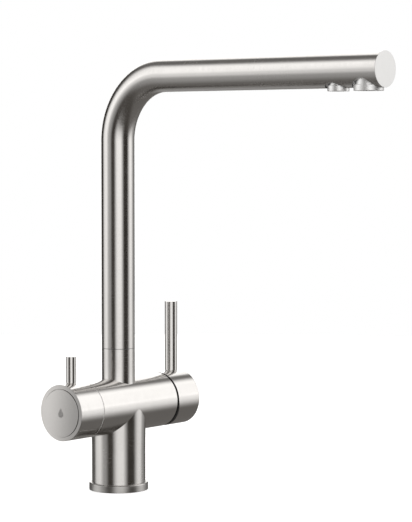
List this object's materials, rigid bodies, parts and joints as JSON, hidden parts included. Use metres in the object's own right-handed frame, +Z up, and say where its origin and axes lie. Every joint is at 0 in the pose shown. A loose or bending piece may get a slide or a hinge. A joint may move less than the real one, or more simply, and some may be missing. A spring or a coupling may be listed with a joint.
{
  "type": "mixer tap",
  "caption": "Upright kitchen mixer tap with a crosswise valve cylinder, side levers for mixed and filtered water, and an L-shaped swivel spout with separate outlets.",
  "frame": {"origin": "centre of the round base, on the sink deck", "axes": "+Z up the column; +X along the valve cylinder towards the mixer handle; -Y along the spout"},
  "size_m": [0.1503, 0.2977, 0.3632],
  "materials": {
    "satin_steel": "satin",
    "satin_steel_face": "satin, turned face",
    "pin_steel": "satin",
    "outlet_steel": "satin",
    "screw_steel": "plain",
    "brass": "machined",
    "black_rubber": "matte",
    "dark_nylon": "matte",
    "pale_nylon": "matte",
    "cartridge_plastic": "matte",
    "riser_plastic": "matte",
    "aerator_plastic": "matte",
    "valve_ceramic": "lapped",
    "mark_grey": "printed"
  },
  "bodies": {
    "tap_body": {"base_ring": "satin_steel", "base_gasket": "black_rubber", "body_barrel": "satin_steel", "water_manifold": "brass", "cross_housing": "satin_steel", "spout_neck": "satin_steel", "swivel_washer": "dark_nylon", "swivel_o_rings": "black_rubber", "mixer_cartridge_seals": "black_rubber", "mixer_cartridge_housing": "cartridge_plastic", "mixer_fixed_disc": "valve_ceramic", "mixer_cartridge_cover": "cartridge_plastic", "mixer_retaining_nut": "brass", "mixer_trim_ring": "dark_nylon", "filter_seat_seal": "black_rubber", "filter_valve_body": "brass", "filter_fixed_disc": "valve_ceramic", "filter_slide_ring": "pale_nylon"},
    "spout": {"spout_tube": "satin_steel", "spout_end_cap": "satin_steel_face", "spout_swivel_sleeve": "brass", "spout_stop_screw": "screw_steel", "filter_riser_tube": "riser_plastic", "spout_outlet_carrier": "outlet_steel", "main_outlet_socket": "outlet_steel", "main_aerator_housing": "outlet_steel", "main_aerator_washer": "black_rubber", "main_aerator_insert": "aerator_plastic", "filter_outlet_socket": "outlet_steel", "filter_aerator_housing": "outlet_steel", "filter_aerator_washer": "black_rubber", "filter_aerator_insert": "aerator_plastic"},
    "mixer_rotor": {"mixer_rotor": "cartridge_plastic", "mixer_pivot_pin": "screw_steel"},
    "mixer_lever": {"mixer_stem": "brass", "mixer_handle_sleeve": "satin_steel", "mixer_handle_end_cap": "satin_steel_face", "mixer_lever_pin": "pin_steel", "mixer_grub_screw": "screw_steel"},
    "mixer_disc": {"mixer_moving_disc": "valve_ceramic", "mixer_disc_carrier": "cartridge_plastic"},
    "filter_handle": {"filter_spindle": "brass", "filter_moving_disc": "valve_ceramic", "filter_spindle_o_ring": "black_rubber", "filter_handle_sleeve": "satin_steel", "filter_handle_end_cap": "satin_steel_face", "filter_drop_mark": "mark_grey", "filter_lever_pin": "pin_steel", "filter_grub_screw": "screw_steel"}
  },
  "joints": [
    {"name": "spout_swivel", "type": "hinge", "parent": "tap_body", "child": "spout", "pos_m": [0, 0, 0.12], "axis": [0, 0, 1], "range_deg": [-70, 70]},
    {"name": "mixer_turn", "type": "hinge", "parent": "tap_body", "child": "mixer_rotor", "pos_m": [0.0519, 0, 0.0716], "axis": [1, 0, 0], "range_deg": [-45, 45]},
    {"name": "mixer_tilt", "type": "hinge", "parent": "mixer_rotor", "child": "mixer_lever", "pos_m": [0.0519, 0, 0.0716], "axis": [0, 1, 0], "range_deg": [0, 8.5]},
    {"name": "mixer_disc_slide", "type": "slide", "parent": "mixer_rotor", "child": "mixer_disc", "axis": [0, 0, 1], "range_m": [0, 0.0032]},
    {"name": "filter_turn", "type": "hinge", "parent": "tap_body", "child": "filter_handle", "pos_m": [-0.05, 0, 0.0716], "axis": [1, 0, 0], "range_deg": [0, 90]}
  ],
  "couplings": [
    {"joint": "mixer_disc_slide", "follows": "mixer_tilt", "m_per_rad": 0.0209}
  ]
}
